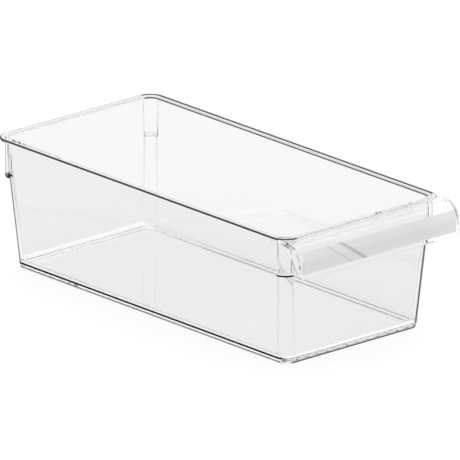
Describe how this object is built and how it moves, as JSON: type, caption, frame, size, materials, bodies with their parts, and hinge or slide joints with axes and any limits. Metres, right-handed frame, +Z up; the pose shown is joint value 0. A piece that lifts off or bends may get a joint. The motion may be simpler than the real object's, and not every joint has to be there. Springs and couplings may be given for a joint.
{
  "type": "fridge bin",
  "caption": "Long open-topped storage bin in clear plastic, with leaning walls, a flat turned-out rim, stacking shoulders in the corners, a low foot and a curled pull handle at the front.",
  "frame": {"origin": "on the surface the bin stands on, under the centre of its outside box", "axes": "+Z up, +Y along the bin from the pull handle to the rear wall, +X to the right seen from the front"},
  "size_m": [0.155, 0.336, 0.1],
  "materials": {
    "clear_plastic": "clear, polished, colourless"
  },
  "bodies": {
    "root": {"floor_panel": "clear_plastic", "front_cove": "clear_plastic", "front_foot": "clear_plastic", "front_left_corner": "clear_plastic", "front_left_corner_cove": "clear_plastic", "front_left_corner_rim": "clear_plastic", "front_left_shoulder": "clear_plastic", "front_right_corner": "clear_plastic", "front_right_corner_cove": "clear_plastic", "front_right_corner_rim": "clear_plastic", "front_right_shoulder": "clear_plastic", "front_rim": "clear_plastic", "front_wall": "clear_plastic", "handle_bend": "clear_plastic", "handle_grip": "clear_plastic", "handle_left_cheek": "clear_plastic", "handle_right_cheek": "clear_plastic", "handle_shelf": "clear_plastic", "left_cove": "clear_plastic", "left_foot": "clear_plastic", "left_rim": "clear_plastic", "left_wall": "clear_plastic", "rear_cove": "clear_plastic", "rear_foot": "clear_plastic", "rear_left_corner": "clear_plastic", "rear_left_corner_cove": "clear_plastic", "rear_left_corner_rim": "clear_plastic", "rear_left_shoulder": "clear_plastic", "rear_right_corner": "clear_plastic", "rear_right_corner_cove": "clear_plastic", "rear_right_corner_rim": "clear_plastic", "rear_right_shoulder": "clear_plastic", "rear_rim": "clear_plastic", "rear_wall": "clear_plastic", "right_cove": "clear_plastic", "right_foot": "clear_plastic", "right_rim": "clear_plastic", "right_wall": "clear_plastic"}
  },
  "joints": []
}
